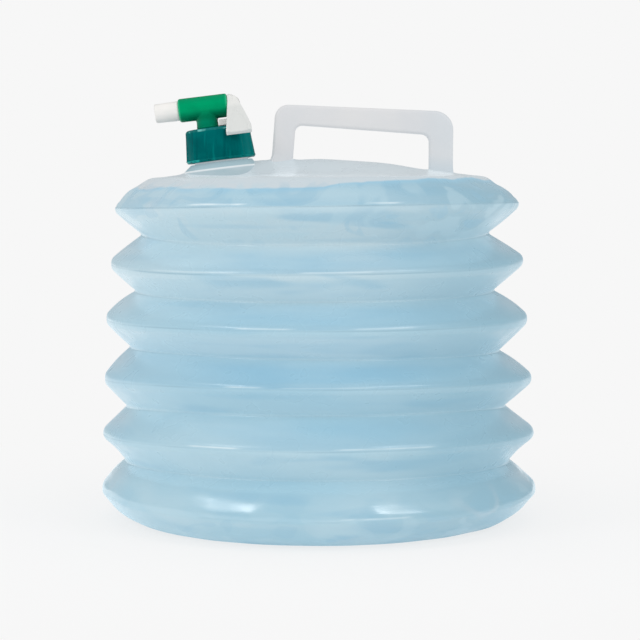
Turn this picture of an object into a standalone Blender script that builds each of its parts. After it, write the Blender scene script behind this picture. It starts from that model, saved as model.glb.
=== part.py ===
"""Collapsible water carrier: a folding container with a moulded carrying handle, a screw cap and a tap.

All lengths are in metres and angles in degrees. +Z is up, the container stands on z = 0 with its axis on the
Z axis, and the handle and the neck stand in the XZ plane, with the tap's spout towards -X.
"""

import math

import bmesh
import bpy
from mathutils import Matrix, Vector

# Walls and gaps
WALL = 0.0010
CLEARANCE = 0.0003
OVERRUN = 0.004

# Bellows: the folds between the lowest and the top ridge
FOLD_COUNT = 5
FOLD_PITCH = 0.0340
FOLD_PITCH_SHARES = (0.971, 0.968, 1.054, 1.009, 0.998)
LOWEST_RIDGE_HEIGHT = 0.0184
BOTTOM_RIDGE_RADIUS = 0.1316
TOP_RIDGE_RADIUS = 0.1219
RIDGE_BULGE = 0.0018
BOTTOM_FOLD_DEPTH = 0.0146
TOP_FOLD_DEPTH = 0.0188
RIDGE_ROUNDING = 0.0050
VALLEY_ROUNDING = 0.0015
BODY_SEGMENTS = 40

# Base
BASE_TUCK = 0.0130
BASE_ROUNDING = 0.0220

# Dome: a flat crown inside a rounded shoulder, with a spine along the parting line
SHOULDER_SETBACK = 0.0160
SHOULDER_RISE = 0.0162
SHOULDER_ROUNDING = 0.0140
CROWN_RISE = 0.0180
CROWN_RING_SHARES = (0.84, 0.70, 0.56, 0.42, 0.30, 0.19, 0.09)
SPINE_RISE = 0.0102
SPINE_HALF_LENGTH = 0.1000
SPINE_WIDTH = 0.0140
SPINE_POWER = 1.5

# Tap stem, which sets the size of the neck that it hangs in
STEM_RADIUS = 0.0058
STEM_OFFSET = 0.0062
STEM_FORWARD = 0.0020
STEM_BORE_RADIUS = 0.0040
STEM_FOOT_FLARE = 0.0007
STEM_FOOT_HEIGHT = 0.0008
SNAP_LIP_OVERHANG = 0.0011
SNAP_LIP_HEIGHT = 0.0018
WASHER_WIDTH = 0.0015
WASHER_THICKNESS = 0.0012
MOUTH_MARGIN = 0.0009

# Neck, cap and gasket
NECK_OFFSET = 0.0584
NECK_TILT = 7.0
NECK_RISE = 0.0042
NECK_WALL = 0.0018
NECK_SEGMENTS = 40
BOSS_TOP_FLANGE = 0.0015
BOSS_LEDGE_FLANGE = 0.0047
BOSS_TOP_DROP = 0.0008
BOSS_LEDGE_DROP = 0.0046
BOSS_ROOT_DEPTH = 0.0140
THREAD_PITCH = 0.0040
THREAD_DEPTH = 0.0012
THREAD_TURNS = 2.25
THREAD_ROOT_WIDTH = 0.0020
THREAD_CREST_WIDTH = 0.0010
THREAD_PLAY = 0.0005
THREAD_SEGMENTS = 24
THREAD_LEAD_STEPS = 4
NECK_THREAD_START = 0.0035
CAP_HEIGHT = 0.0200
CAP_WALL = 0.0016
CAP_ROOF = 0.0020
CAP_FLARE = 0.0009
CAP_EDGE_ROUNDING = 0.0018
GASKET_THICKNESS = 0.0015
GASKET_MARGIN = 0.0004
GRIP_RIB_COUNT = 12
GRIP_RIB_WIDTH = 0.0018
GRIP_RIB_TOP_DEPTH = 0.0003
GRIP_RIB_FOOT_DEPTH = 0.0010
GRIP_RIB_MARGIN = 0.0010
GRIP_RIB_TOP_MARGIN = 0.0032

# Tap barrel
BARREL_HEIGHT = 0.0126
BARREL_RADIUS = 0.0071
BARREL_SPOUT_END = 0.0161
BARREL_LEVER_END = 0.0133
BARREL_EDGE_ROUNDING = 0.0014
BARREL_WALL = 0.00135
BARREL_SEGMENTS = 32

# Valve plug: spout, plug, lever and stop peg in one moulding
SPOUT_LENGTH = 0.0145
SPOUT_ROOT_RADIUS = 0.00595
SPOUT_TIP_RADIUS = 0.0054
SPOUT_EDGE_ROUNDING = 0.0005
SPOUT_BORE_RADIUS = 0.0040
PORT_RADIUS = 0.0032
BORE_PAST_PORT = 0.0018
HUB_LENGTH = 0.0096
HUB_ROUNDING = 0.0064
LEVER_ANGLE = 60.0
LEVER_LENGTH = 0.0260
LEVER_THICKNESS = 0.0030
LEVER_INSET = 0.0004
LEVER_TIP_LEFT = 0.0014
LEVER_TIP_RIGHT = 0.0036
LIP_REACH = 0.0057
LIP_THICKNESS = 0.0014
PEG_ANGLE = 20.0
PEG_GAP = 0.0013
PEG_HEIGHT = 0.0038
PEG_WIDTH = 0.0032
PEG_LENGTH = 0.0066
LUG_MARGIN = 0.0006
LUG_THICKNESS = 0.0024
LUG_INSET = 0.0003

# Carrying handle, a flat web in the XZ plane
HANDLE_TO_CAP = 0.0099
HANDLE_LENGTH = 0.1097
HANDLE_THICKNESS = 0.0080
HANDLE_RISE = 0.0326
HANDLE_SLOPE = 2.4
HANDLE_LEAN = 3.4
HANDLE_LEFT_LEG = 0.0125
HANDLE_RIGHT_LEG = 0.0145
HANDLE_LEFT_BAR = 0.0124
HANDLE_RIGHT_BAR = 0.0138
HANDLE_LEFT_CORNER = 0.0080
HANDLE_RIGHT_CORNER = 0.0113
HANDLE_LEFT_INNER_CORNER = 0.0042
HANDLE_RIGHT_INNER_CORNER = 0.0048
HANDLE_EDGE_ROUNDING = 0.0024
HANDLE_ROOT_DEPTH = 0.0080

# Derived sizes of the neck, the cap and the tap
STEM_DISTANCE = math.hypot(STEM_OFFSET, STEM_FORWARD)
SNAP_LIP_RADIUS = STEM_RADIUS + SNAP_LIP_OVERHANG
WASHER_BORE_RADIUS = STEM_RADIUS + CLEARANCE
WASHER_RADIUS = WASHER_BORE_RADIUS + WASHER_WIDTH
MOUTH_RADIUS = STEM_DISTANCE + SNAP_LIP_RADIUS + MOUTH_MARGIN
NECK_RADIUS = MOUTH_RADIUS + NECK_WALL
CAP_BORE_RADIUS = NECK_RADIUS + THREAD_DEPTH + THREAD_PLAY
CAP_TOP_RADIUS = CAP_BORE_RADIUS + CAP_WALL
CAP_SKIRT_RADIUS = CAP_TOP_RADIUS + CAP_FLARE
ROOF_UNDERSIDE = CAP_HEIGHT - CAP_ROOF
GASKET_TOP = ROOF_UNDERSIDE - CLEARANCE
RIM_HEIGHT = GASKET_TOP - GASKET_THICKNESS - CLEARANCE
BOSS_TOP_RADIUS = NECK_RADIUS + BOSS_TOP_FLANGE
BOSS_LEDGE_RADIUS = NECK_RADIUS + BOSS_LEDGE_FLANGE
BARREL_AXIS = CAP_HEIGHT + BARREL_HEIGHT
PLUG_BORE_RADIUS = BARREL_RADIUS - BARREL_WALL
PLUG_RADIUS = PLUG_BORE_RADIUS - CLEARANCE
HUB_FACE = BARREL_LEVER_END + CLEARANCE


def between(low, high, share):
    """The value a share of the way from low to high."""
    return low + (high - low) * share


def ridge_height(index):
    """Height of a fold ridge, counted from the lowest."""
    return LOWEST_RIDGE_HEIGHT + FOLD_PITCH * sum(FOLD_PITCH_SHARES[:index])


def ridge_radius(index):
    """Radius of a fold ridge: it narrows upwards along a slightly bulging line."""
    share = index / FOLD_COUNT
    line = between(BOTTOM_RIDGE_RADIUS, TOP_RIDGE_RADIUS, share)
    return line + 4 * RIDGE_BULGE * share * (1 - share)


def fold_depth(index):
    """Depth of the valley between ridge index and the next."""
    return between(BOTTOM_FOLD_DEPTH, TOP_FOLD_DEPTH, index / (FOLD_COUNT - 1))


TOP_RIDGE_HEIGHT = ridge_height(FOLD_COUNT)
CROWN_HEIGHT = TOP_RIDGE_HEIGHT + CROWN_RISE


def spine(x, y):
    """How far the parting-line spine lifts the dome at a place."""
    along = 1 - min(1, abs(x) / SPINE_HALF_LENGTH) ** 2
    return SPINE_RISE * along**SPINE_POWER * math.exp(-((y / SPINE_WIDTH) ** 2))


def arc_between(start, corner, end, radius, steps):
    """The arc that rounds a corner, shortened where its sides are too short for its radius."""
    back, ahead = start - corner, end - corner
    half = back.angle(ahead) / 2
    reach = min(radius / math.tan(half), back.length * 0.49, ahead.length * 0.49)
    radius = reach * math.tan(half)
    centre = corner + (back.normalized() + ahead.normalized()).normalized() * (radius / math.sin(half))
    first = (corner + back.normalized() * reach - centre).normalized()
    last = (corner + ahead.normalized() * reach - centre).normalized()
    return [centre + first.slerp(last, step / steps) * radius for step in range(steps + 1)]


def rounded(corners, steps, closed=False):
    """A list of points for each corner (x, y, radius) of an outline: an arc, or the corner itself."""
    points = [Vector(corner[:2]) for corner in corners]
    parts = []
    for index, corner in enumerate(corners):
        at_end = index in (0, len(corners) - 1) and not closed
        if at_end or not corner[2]:
            parts.append([points[index]])
            continue
        before, after = points[index - 1], points[(index + 1) % len(points)]
        parts.append(arc_between(before, points[index], after, corner[2], steps))
    return parts


def inner_side(points, wall):
    """The points moved inwards by the wall: along the axis at an end on it, and square to it at a seam."""
    moved = []
    for index, point in enumerate(points):
        if point.x == 0:
            side = Vector((0, 1)) if index == 0 else Vector((0, -1))
            moved.append(point + side * wall)
            continue
        if index in (0, len(points) - 1):
            moved.append(point - Vector((wall, 0)))
            continue
        before = (point - points[index - 1]).normalized()
        after = (points[index + 1] - point).normalized()
        normals = Vector((-before.y, before.x)), Vector((-after.y, after.x))
        mitre = (normals[0] + normals[1]) / (1 + normals[0].dot(normals[1]))
        moved.append(point + mitre * wall)
    return moved


def body_outline():
    """The container's outer profile from the middle of the base to the middle of the crown, one list per corner.

    Each ridge's and valley's list has its tip in the middle, which is where two pieces of the wall part.
    """
    corners = [(0, 0, 0), (BOTTOM_RIDGE_RADIUS - BASE_TUCK, 0, BASE_ROUNDING)]
    for index in range(FOLD_COUNT + 1):
        fold = min(index, FOLD_COUNT - 1)
        half = math.atan(FOLD_PITCH / 2 / fold_depth(fold))
        tip_to_corner = 1 / math.sin(half) - 1
        corners.append(
            (ridge_radius(index) + RIDGE_ROUNDING * tip_to_corner, ridge_height(index), RIDGE_ROUNDING)
        )
        if index < FOLD_COUNT:
            middle = (ridge_radius(index) + ridge_radius(index + 1)) / 2 - fold_depth(index)
            height = (ridge_height(index) + ridge_height(index + 1)) / 2
            corners.append((middle - VALLEY_ROUNDING * tip_to_corner, height, VALLEY_ROUNDING))
    shoulder_radius = TOP_RIDGE_RADIUS - SHOULDER_SETBACK
    corners.append((shoulder_radius, TOP_RIDGE_HEIGHT + SHOULDER_RISE, SHOULDER_ROUNDING))
    corners.append((0, CROWN_HEIGHT, 0))
    return rounded(corners, 2)


def seam(arc, side):
    """The tip of a ridge or a valley, moved up or down by half the gap between two pieces."""
    return arc[1] + Vector((0, side * CLEARANCE / 2))


def mesh_object(name, shape, parent=None):
    """An object made from a bmesh, with its faces pointing out."""
    bmesh.ops.recalc_face_normals(shape, faces=shape.faces)
    mesh = bpy.data.meshes.new(name)
    shape.to_mesh(mesh)
    shape.free()
    mesh.shade_smooth()
    mesh.set_sharp_from_angle(angle=math.radians(35))
    made = bpy.data.objects.new(name, mesh)
    bpy.context.scene.collection.objects.link(made)
    made.parent = parent
    return made


def turned(name, profile, segments, parent=None, lift=None, along_x=False):
    """A closed profile of (radius, height) points turned about the Z axis, or about the X axis.

    lift(x, y) raises each point, for a dome that isn't quite round.
    """
    shape = bmesh.new()
    rings = []
    for radius, height in profile:
        ring = []
        for step in range(segments if radius > 0 else 1):
            angle = 2 * math.pi * step / segments
            x, y = radius * math.cos(angle), radius * math.sin(angle)
            raised = height + lift(x, y) if lift else height
            ring.append(shape.verts.new((raised, x, y) if along_x else (x, y, raised)))
        rings.append(ring)
    for ring, following in zip(rings, rings[1:] + rings[:1]):
        if len(ring) == len(following) == 1:
            continue
        for step in range(segments):
            after = (step + 1) % segments
            corners = [ring[step % len(ring)], ring[after % len(ring)]]
            corners += [following[after % len(following)], following[step % len(following)]]
            shape.faces.new(dict.fromkeys(corners))
    return mesh_object(name, shape, parent)


def prism(name, outline, low, high, axis, parent=None):
    """An outline pushed from low to high along "X", with (y, z) points, or along "Y", with (x, z) points."""
    shape = bmesh.new()
    ends = []
    for depth in (low, high):
        corners = [(depth, a, b) if axis == "X" else (a, depth, b) for a, b in outline]
        ends.append([shape.verts.new(corner) for corner in corners])
    shape.faces.new(ends[0])
    shape.faces.new(ends[1])
    count = len(outline)
    for index in range(count):
        after = (index + 1) % count
        shape.faces.new((ends[0][index], ends[0][after], ends[1][after], ends[1][index]))
    return mesh_object(name, shape, parent)


def as_helper(made):
    """Marks an object as a cutter or a joined shape, which isn't a piece of its own."""
    made.hide_render = True
    made.display_type = "WIRE"
    return made


def combine(made, other, operation):
    """Cuts a helper from an object, or joins it to the object."""
    step = made.modifiers.new(other.name, "BOOLEAN")
    step.operation = operation
    step.solver = "EXACT"
    step.object = as_helper(other)


def join(made, other):
    combine(made, other, "UNION")


def cut(made, other):
    combine(made, other, "DIFFERENCE")


def plastic(made, colour, roughness, transmission=0.0):
    """Gives an object its own material."""
    material = bpy.data.materials.new(made.name)
    material.use_nodes = True
    shader = material.node_tree.nodes["Principled BSDF"]
    shader.inputs["Base Color"].default_value = (*colour, 1)
    shader.inputs["Roughness"].default_value = roughness
    shader.inputs["Metallic"].default_value = 0.0
    shader.inputs["Transmission Weight"].default_value = transmission
    material.diffuse_color = (*colour, 1)
    made.data.materials.append(material)
    return made


def film(made):
    """Translucent polyethylene, tinted by the water behind it."""
    return plastic(made, (0.42, 0.62, 0.70), 0.30, 0.35)


def empty(name, location, rotation=(0, 0, 0), parent=None):
    made = bpy.data.objects.new(name, None)
    bpy.context.scene.collection.objects.link(made)
    made.location = location
    made.rotation_euler = rotation
    made.parent = parent
    return made


def shell_piece(name, outer):
    """A turned piece of the container's wall, from its outer profile."""
    return film(turned(name, outer + inner_side(outer, WALL)[::-1], BODY_SEGMENTS))


def make_base(outline):
    lowest = outline[2]
    shell_piece("base_pan", [*outline[0], *outline[1], lowest[0], seam(lowest, -1)])


def make_folds(outline):
    """Half a fold at the foot, one ring for each ridge, from valley to valley, and half a fold at the head."""
    folds = outline[2:-2]
    foot_ridge, foot_valley = folds[:2]
    shell_piece("bellows_foot", [seam(foot_ridge, 1), foot_ridge[2], foot_valley[0], seam(foot_valley, -1)])
    for index in range(1, FOLD_COUNT):
        lower, ridge, upper = folds[2 * index - 1 : 2 * index + 2]
        points = [seam(lower, 1), lower[2], *ridge, upper[0], seam(upper, -1)]
        shell_piece(f"bellows_ring_{index}", points)
    head_valley, head_ridge = folds[-2:]
    shell_piece("bellows_head", [seam(head_valley, 1), head_valley[2], head_ridge[0], seam(head_ridge, -1)])


def crown_profile(outline):
    """The dome's outer profile from the top ridge to the middle of the crown."""
    ridge, shoulder, crown = outline[-3:]
    edge = shoulder[-1]
    rings = [Vector((edge.x * share, between(crown[0].y, edge.y, share))) for share in CROWN_RING_SHARES]
    return [seam(ridge, 1), ridge[2], *shoulder, *rings, crown[0]]


def dome_solid(name, profile, floor):
    """Everything under a dome profile, down to a floor."""
    base = [Vector((0, floor)), Vector((profile[0].x, floor))]
    return turned(name, base + profile, BODY_SEGMENTS, lift=spine)


def thread_ridge(name, root_radius, depth, start, parent):
    """A right-hand screw thread: outwards from a neck, or inwards, with a negative depth, from a cap."""
    steps = round(THREAD_TURNS * THREAD_SEGMENTS)
    sunk = math.copysign(NECK_WALL / 4, depth)
    shape = bmesh.new()
    sections = []
    for step in range(steps + 1):
        angle = 2 * math.pi * step / THREAD_SEGMENTS
        height = start + THREAD_PITCH * step / THREAD_SEGMENTS
        lead = min(1, (step + 1) / THREAD_LEAD_STEPS, (steps + 1 - step) / THREAD_LEAD_STEPS)
        corners = (
            (root_radius - sunk, -THREAD_ROOT_WIDTH / 2),
            (root_radius + depth * lead, -THREAD_CREST_WIDTH / 2),
            (root_radius + depth * lead, THREAD_CREST_WIDTH / 2),
            (root_radius - sunk, THREAD_ROOT_WIDTH / 2),
        )
        sections.append(
            [shape.verts.new((r * math.cos(angle), r * math.sin(angle), height + z)) for r, z in corners]
        )
    shape.faces.new(sections[0])
    shape.faces.new(sections[-1])
    for section, following in zip(sections, sections[1:]):
        for index in range(4):
            after = (index + 1) % 4
            shape.faces.new((section[index], section[after], following[after], following[index]))
    return mesh_object(name, shape, parent)


def make_top_shell(outline, neck_axis):
    """The dome and the threaded neck: their outer forms joined, less their inner forms joined."""
    outer = crown_profile(outline)
    inner = inner_side(outer, WALL)
    top = dome_solid("top_shell", outer, outer[0].y)
    neck_outer = [
        (0, -BOSS_ROOT_DEPTH),
        (BOSS_LEDGE_RADIUS, -BOSS_ROOT_DEPTH),
        (BOSS_LEDGE_RADIUS, -BOSS_LEDGE_DROP),
        (BOSS_TOP_RADIUS, -BOSS_TOP_DROP),
        (NECK_RADIUS, -BOSS_TOP_DROP),
        (NECK_RADIUS, RIM_HEIGHT),
        (0, RIM_HEIGHT),
    ]
    bore_top = RIM_HEIGHT + OVERRUN
    neck_inner = [
        (0, -BOSS_ROOT_DEPTH - WALL),
        (BOSS_LEDGE_RADIUS - WALL, -BOSS_ROOT_DEPTH - WALL),
        (BOSS_LEDGE_RADIUS - WALL, -BOSS_LEDGE_DROP - WALL),
        (MOUTH_RADIUS, -BOSS_TOP_DROP - NECK_WALL),
        (MOUTH_RADIUS, bore_top),
        (0, bore_top),
    ]
    join(top, turned("neck_form", neck_outer, NECK_SEGMENTS, neck_axis))
    cut(top, dome_solid("dome_hollow", inner, inner[0].y - OVERRUN))
    cut(top, turned("neck_bore", neck_inner, NECK_SEGMENTS, neck_axis))
    join(top, thread_ridge("neck_thread", NECK_RADIUS, THREAD_DEPTH, NECK_THREAD_START, neck_axis))
    film(top)


def handle_outline():
    """The handle's outline in X and Z, open below, where its legs meet the dome."""
    left = -NECK_OFFSET + CAP_SKIRT_RADIUS + HANDLE_TO_CAP
    right = left + HANDLE_LENGTH
    foot = CROWN_HEIGHT - HANDLE_ROOT_DEPTH
    top_left = CROWN_HEIGHT + SPINE_RISE + HANDLE_RISE
    top_right = top_left - HANDLE_LENGTH * math.tan(math.radians(HANDLE_SLOPE))
    lean = (top_left - foot) * math.tan(math.radians(HANDLE_LEAN))
    inner_left = left + HANDLE_LEFT_LEG
    inner_right = right - HANDLE_RIGHT_LEG
    corners = [
        (left, foot, 0),
        (left + lean, top_left, HANDLE_LEFT_CORNER),
        (right, top_right, HANDLE_RIGHT_CORNER),
        (right, foot, 0),
        (inner_right, foot, 0),
        (inner_right, top_right - HANDLE_RIGHT_BAR, HANDLE_RIGHT_INNER_CORNER),
        (inner_left + lean, top_left - HANDLE_LEFT_BAR, HANDLE_LEFT_INNER_CORNER),
        (inner_left, foot, 0),
    ]
    return [point for part in rounded(corners, 4, closed=True) for point in part]


def make_handle(outline):
    """The handle, with rounded edges, cut to stand on the dome."""
    half = HANDLE_THICKNESS / 2
    handle = prism("carry_handle", handle_outline(), -half, half, "Y")
    edges = handle.modifiers.new("rounded_edges", "BEVEL")
    edges.width = HANDLE_EDGE_ROUNDING
    edges.segments = 2
    edges.limit_method = "ANGLE"
    edges.angle_limit = math.radians(60)
    raised = [point + Vector((0, CLEARANCE)) for point in crown_profile(outline)]
    cut(handle, dome_solid("handle_seat", raised, raised[0].y - OVERRUN))
    film(handle)


def make_cap(neck_axis):
    """The screw cap: a flared skirt with grip ribs, an internal thread and a hole for the tap's stem."""
    outer = rounded([(0, CAP_HEIGHT, 0), (CAP_TOP_RADIUS, CAP_HEIGHT, CAP_EDGE_ROUNDING), (CAP_SKIRT_RADIUS, 0, 0)], 3)
    inner = [(CAP_BORE_RADIUS, 0), (CAP_BORE_RADIUS, ROOF_UNDERSIDE), (0, ROOF_UNDERSIDE)]
    profile = [tuple(point) for part in outer for point in part] + inner
    cap = turned("screw_cap", profile, NECK_SEGMENTS, neck_axis)
    join(cap, grip_ribs(neck_axis))
    start = NECK_THREAD_START - THREAD_PITCH / 2
    join(cap, thread_ridge("cap_thread", CAP_BORE_RADIUS, -THREAD_DEPTH, start, neck_axis))
    hole_radius = STEM_RADIUS + CLEARANCE
    hole = [(0, ROOF_UNDERSIDE - OVERRUN), (hole_radius, ROOF_UNDERSIDE - OVERRUN)]
    hole += [(hole_radius, CAP_HEIGHT + OVERRUN), (0, CAP_HEIGHT + OVERRUN)]
    stem_hole = turned("stem_hole", hole, BARREL_SEGMENTS, neck_axis)
    stem_hole.location = (-STEM_OFFSET, -STEM_FORWARD, 0)
    cut(cap, stem_hole)
    plastic(cap, (0.0, 0.11, 0.105), 0.22)


def grip_ribs(neck_axis):
    """The cap's ribs, which stand out further towards the skirt's foot."""
    foot, top = GRIP_RIB_MARGIN, CAP_HEIGHT - GRIP_RIB_TOP_MARGIN
    root = CAP_TOP_RADIUS - CAP_WALL / 2
    shape = bmesh.new()
    for rib in range(GRIP_RIB_COUNT):
        turn = Matrix.Rotation(2 * math.pi * (rib + 0.5) / GRIP_RIB_COUNT, 4, "Z")
        levels = []
        for height, depth in ((foot, GRIP_RIB_FOOT_DEPTH), (top, GRIP_RIB_TOP_DEPTH)):
            crest = between(CAP_SKIRT_RADIUS, CAP_TOP_RADIUS, height / CAP_HEIGHT) + depth
            half = GRIP_RIB_WIDTH / 2
            corners = [(root, -half), (crest, -half / 2), (crest, half / 2), (root, half)]
            levels.append([shape.verts.new(turn @ Vector((x, y, height))) for x, y in corners])
        shape.faces.new(levels[0])
        shape.faces.new(levels[1])
        for index in range(4):
            after = (index + 1) % 4
            shape.faces.new((levels[0][index], levels[0][after], levels[1][after], levels[1][index]))
    return mesh_object("grip_ribs", shape, neck_axis)


def ring(name, bore, radius, low, high, segments, parent):
    return turned(name, [(bore, low), (radius, low), (radius, high), (bore, high)], segments, parent)


def make_seals(neck_axis):
    """The gasket between the cap's roof and the neck's rim, and the washer round the tap's stem."""
    gasket_bore = STEM_DISTANCE + WASHER_RADIUS + GASKET_MARGIN
    gasket_radius = CAP_BORE_RADIUS - CLEARANCE
    low = GASKET_TOP - GASKET_THICKNESS
    gasket = ring("cap_gasket", gasket_bore, gasket_radius, low, GASKET_TOP, NECK_SEGMENTS, neck_axis)
    plastic(gasket, (0.75, 0.75, 0.74), 0.6)
    low = GASKET_TOP - WASHER_THICKNESS
    washer = ring("stem_washer", WASHER_BORE_RADIUS, WASHER_RADIUS, low, GASKET_TOP, BARREL_SEGMENTS, neck_axis)
    washer.location = (-STEM_OFFSET, -STEM_FORWARD, 0)
    plastic(washer, (0.05, 0.05, 0.05), 0.6)


def make_tap_body(barrel_axis):
    """The green T: a cross barrel on a stem that snaps into the cap's roof."""
    corners = [
        (0, -BARREL_SPOUT_END, 0),
        (BARREL_RADIUS, -BARREL_SPOUT_END, BARREL_EDGE_ROUNDING),
        (BARREL_RADIUS, BARREL_LEVER_END, BARREL_EDGE_ROUNDING),
        (0, BARREL_LEVER_END, 0),
    ]
    profile = [tuple(point) for part in rounded(corners, 3) for point in part]
    tap = turned("tap_body", profile, BARREL_SEGMENTS, barrel_axis, along_x=True)
    cap_top = CAP_HEIGHT + CLEARANCE - BARREL_AXIS
    lip_top = GASKET_TOP - WASHER_THICKNESS - CLEARANCE - BARREL_AXIS
    lip_foot = lip_top - SNAP_LIP_HEIGHT
    stem = [
        (0, lip_foot),
        (STEM_RADIUS, lip_foot),
        (SNAP_LIP_RADIUS, between(lip_foot, lip_top, 0.6)),
        (SNAP_LIP_RADIUS, lip_top),
        (STEM_RADIUS, lip_top),
        (STEM_RADIUS, cap_top),
        (STEM_RADIUS + STEM_FOOT_FLARE, cap_top),
        (STEM_RADIUS, cap_top + STEM_FOOT_HEIGHT),
        (STEM_RADIUS, 0),
        (0, 0),
    ]
    join(tap, turned("stem_form", stem, BARREL_SEGMENTS, barrel_axis))
    bore = [(0, -BARREL_SPOUT_END - OVERRUN), (PLUG_BORE_RADIUS, -BARREL_SPOUT_END - OVERRUN)]
    bore += [(PLUG_BORE_RADIUS, BARREL_LEVER_END + OVERRUN), (0, BARREL_LEVER_END + OVERRUN)]
    cut(tap, turned("plug_bore", bore, BARREL_SEGMENTS, barrel_axis, along_x=True))
    passage = [(0, lip_foot - OVERRUN), (STEM_BORE_RADIUS, lip_foot - OVERRUN), (STEM_BORE_RADIUS, 0), (0, 0)]
    cut(tap, turned("stem_bore", passage, BARREL_SEGMENTS // 2, barrel_axis))
    plastic(tap, (0.0, 0.30, 0.14), 0.2)


def leaning(made, angle):
    """Turns a helper about the barrel's axis from straight down towards the front."""
    made.rotation_euler = (-math.radians(angle), 0, 0)
    return made


def lever_form(barrel_axis):
    """The lever: a plate that widens towards a lip at its tip."""
    near, far = -LEVER_THICKNESS / 2, LEVER_THICKNESS / 2
    lip_top = LIP_THICKNESS - LEVER_LENGTH
    section = [(near, 0), (near, -LEVER_LENGTH), (LIP_REACH, -LEVER_LENGTH)]
    section += [(LIP_REACH, lip_top), (far, lip_top), (far, 0)]
    left, right = HUB_FACE + LEVER_INSET, HUB_FACE + HUB_LENGTH - LEVER_INSET
    lever = prism("lever_form", section, left, right, "X", barrel_axis)
    for vertex in lever.data.vertices:
        share = -vertex.co.z / LEVER_LENGTH
        if vertex.co.x > (left + right) / 2:
            vertex.co.x += LEVER_TIP_RIGHT * share
        else:
            vertex.co.x -= LEVER_TIP_LEFT * share
    return leaning(lever, LEVER_ANGLE)


def make_plug(barrel_axis):
    """The white moulding: spout, plug, hub, lever and stop peg, with the passage through the spout."""
    tip = -BARREL_SPOUT_END - SPOUT_LENGTH
    root = -BARREL_SPOUT_END - CLEARANCE
    corners = [
        (0, tip, 0),
        (SPOUT_TIP_RADIUS, tip, SPOUT_EDGE_ROUNDING),
        (SPOUT_ROOT_RADIUS, root, 0),
        (PLUG_RADIUS, root, 0),
        (PLUG_RADIUS, HUB_FACE, 0),
        (BARREL_RADIUS, HUB_FACE, 0),
        (BARREL_RADIUS, HUB_FACE + HUB_LENGTH, HUB_ROUNDING),
        (0, HUB_FACE + HUB_LENGTH, 0),
    ]
    profile = [tuple(point) for part in rounded(corners, 3) for point in part]
    plug = turned("valve_plug", profile, BARREL_SEGMENTS, barrel_axis, along_x=True)
    join(plug, lever_form(barrel_axis))
    peg_near = BARREL_RADIUS + PEG_GAP
    peg_far = peg_near + PEG_HEIGHT
    lug_half = PEG_WIDTH / 2 + LUG_MARGIN
    lug_far = peg_far - LUG_MARGIN
    lug = [(-lug_half, 0), (lug_half, 0), (lug_half, -lug_far), (-lug_half, -lug_far)]
    lug_face = HUB_FACE + LUG_INSET
    join(plug, leaning(prism("lug_form", lug, lug_face, lug_face + LUG_THICKNESS, "X", barrel_axis), PEG_ANGLE))
    peg_half = PEG_WIDTH / 2
    peg = [(-peg_half, -peg_near), (peg_half, -peg_near), (peg_half, -peg_far), (-peg_half, -peg_far)]
    peg_root = lug_face + LUG_THICKNESS / 2
    join(plug, leaning(prism("peg_form", peg, HUB_FACE - PEG_LENGTH, peg_root, "X", barrel_axis), PEG_ANGLE))
    bore_end = PORT_RADIUS + BORE_PAST_PORT
    bore = [(0, tip - OVERRUN), (SPOUT_BORE_RADIUS, tip - OVERRUN), (SPOUT_BORE_RADIUS, bore_end), (0, bore_end)]
    cut(plug, turned("spout_bore", bore, BARREL_SEGMENTS // 2, barrel_axis, along_x=True))
    port = turned(
        "side_port",
        [(0, 0), (PORT_RADIUS, 0), (PORT_RADIUS, PLUG_RADIUS + OVERRUN), (0, PLUG_RADIUS + OVERRUN)],
        BARREL_SEGMENTS // 2,
        barrel_axis,
    )
    port.rotation_euler = (-math.pi / 2, 0, 0)
    cut(plug, port)
    plastic(plug, (0.78, 0.79, 0.78), 0.35)


def main():
    for old in list(bpy.data.objects):
        bpy.data.objects.remove(old, do_unlink=True)
    outline = body_outline()
    neck_foot = CROWN_HEIGHT + between(0, SHOULDER_RISE - CROWN_RISE, NECK_OFFSET / TOP_RIDGE_RADIUS)
    neck_height = neck_foot + spine(NECK_OFFSET, 0) + NECK_RISE
    neck_axis = empty("neck_axis", (-NECK_OFFSET, 0, neck_height), (0, -math.radians(NECK_TILT), 0))
    barrel_axis = empty("barrel_axis", (-STEM_OFFSET, -STEM_FORWARD, BARREL_AXIS), parent=neck_axis)
    make_base(outline)
    make_folds(outline)
    make_top_shell(outline, neck_axis)
    make_handle(outline)
    make_cap(neck_axis)
    make_seals(neck_axis)
    make_tap_body(barrel_axis)
    make_plug(barrel_axis)


main()
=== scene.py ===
"""Looks of a collapsible water carrier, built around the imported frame.

Shapes are worked out in millimetres and turned into metres with MM. Materials, lights and the camera are in
metres. Angles are in degrees.
"""

import math
from typing import NamedTuple

import bmesh
import bpy
from mathutils import Matrix, Vector, noise


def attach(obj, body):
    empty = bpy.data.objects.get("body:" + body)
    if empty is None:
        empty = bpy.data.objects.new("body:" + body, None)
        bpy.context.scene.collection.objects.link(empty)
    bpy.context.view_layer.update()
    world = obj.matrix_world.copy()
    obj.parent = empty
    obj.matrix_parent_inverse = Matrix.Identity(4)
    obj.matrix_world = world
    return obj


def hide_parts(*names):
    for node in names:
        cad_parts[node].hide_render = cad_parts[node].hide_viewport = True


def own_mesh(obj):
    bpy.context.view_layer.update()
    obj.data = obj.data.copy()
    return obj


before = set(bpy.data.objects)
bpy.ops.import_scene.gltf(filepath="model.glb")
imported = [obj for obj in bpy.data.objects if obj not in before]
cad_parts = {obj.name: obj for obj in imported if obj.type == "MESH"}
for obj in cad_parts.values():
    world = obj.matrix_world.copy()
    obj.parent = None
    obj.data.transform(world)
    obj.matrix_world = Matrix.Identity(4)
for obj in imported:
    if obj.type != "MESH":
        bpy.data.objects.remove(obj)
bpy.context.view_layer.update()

MM = 0.001
SCENE = bpy.context.scene

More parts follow.
